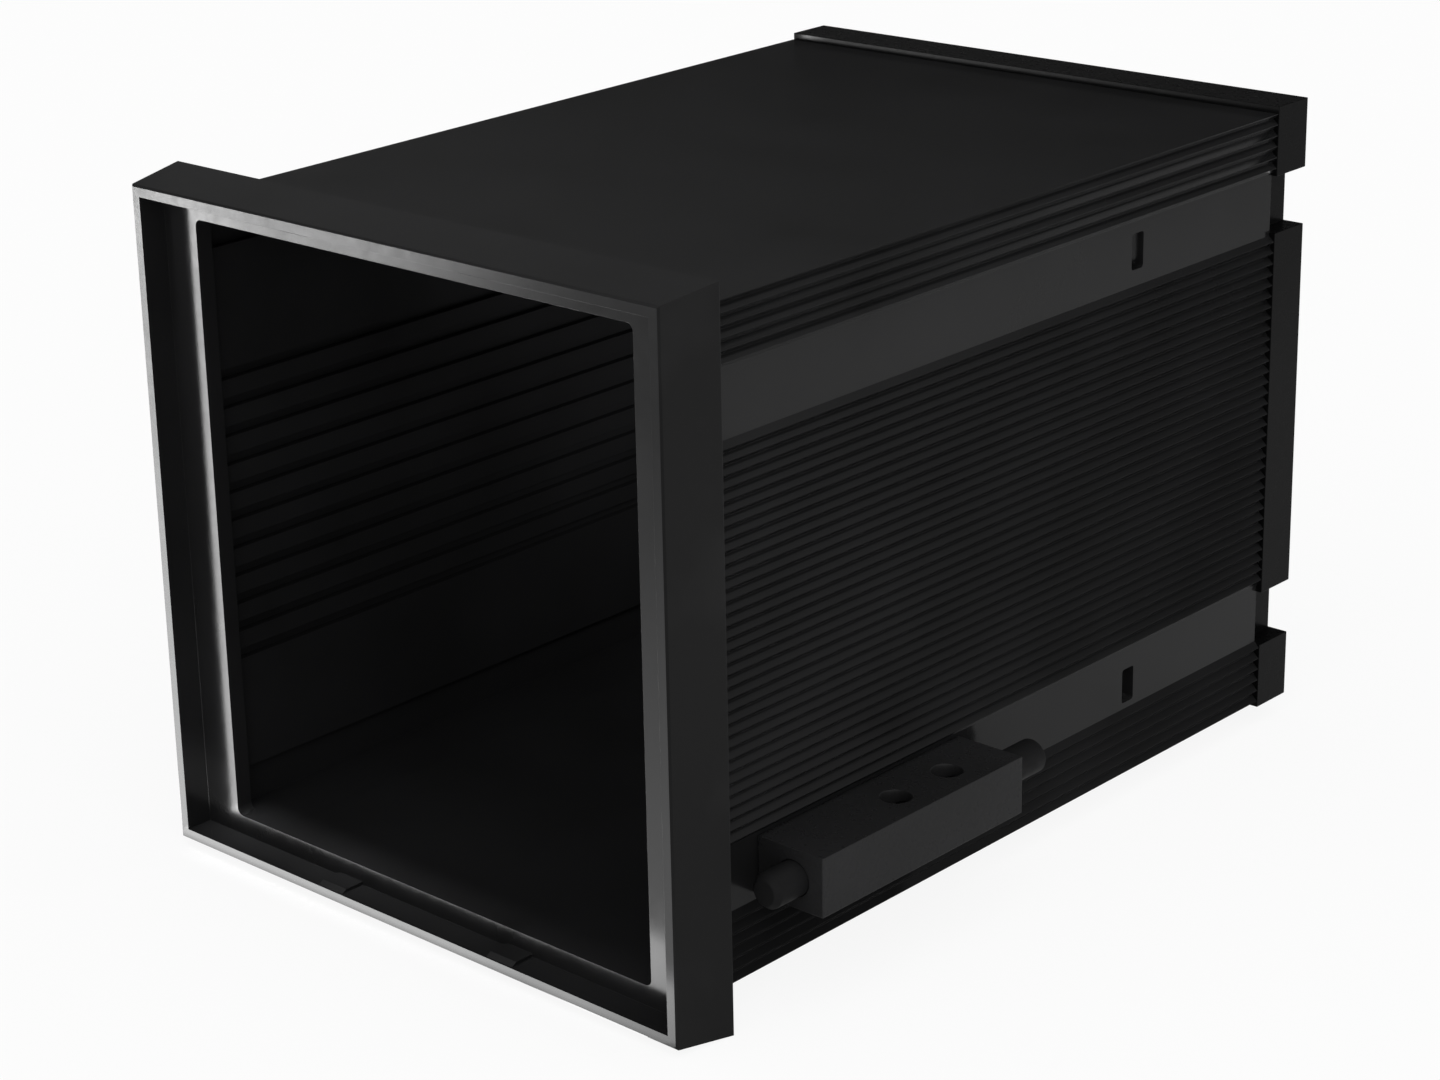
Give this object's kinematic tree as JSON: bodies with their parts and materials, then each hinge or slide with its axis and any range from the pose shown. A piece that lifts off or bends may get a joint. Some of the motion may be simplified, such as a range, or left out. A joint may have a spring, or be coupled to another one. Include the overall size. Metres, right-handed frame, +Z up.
{
  "type": "panel mount enclosure",
  "caption": "Square black panel-mount instrument enclosure: open bezel with a ledge, ribbed sides, card guides inside, closed rear cover and screw clamps hooked into slots in the sides.",
  "frame": {"origin": "centre of the panel cut-out, on the front plane of the panel, where the back of the bezel seats", "axes": "+X to the right seen from the front, +Y back through the panel into the cabinet, +Z up"},
  "size_m": [0.1074, 0.1367, 0.096],
  "materials": {
    "housing_plastic": "black, satin to semi-gloss moulded",
    "cover_plastic": "black, satin to semi-gloss moulded",
    "clamp_plastic": "black, satin moulded",
    "screw_metal": "blackened, satin"
  },
  "bodies": {
    "enclosure": {"housing": "housing_plastic", "rear_cover": "cover_plastic", "right_clamp": "clamp_plastic", "left_clamp": "clamp_plastic"},
    "right_screw_body": {"right_screw": "screw_metal"},
    "left_screw_body": {"left_screw": "screw_metal"}
  },
  "joints": [
    {"name": "right_screw_feed", "type": "slide", "parent": "enclosure", "child": "right_screw_body", "axis": [0, 1, 0], "range_m": [-0.004, 0.006]},
    {"name": "left_screw_feed", "type": "slide", "parent": "enclosure", "child": "left_screw_body", "axis": [0, 1, 0], "range_m": [-0.004, 0.006]}
  ]
}
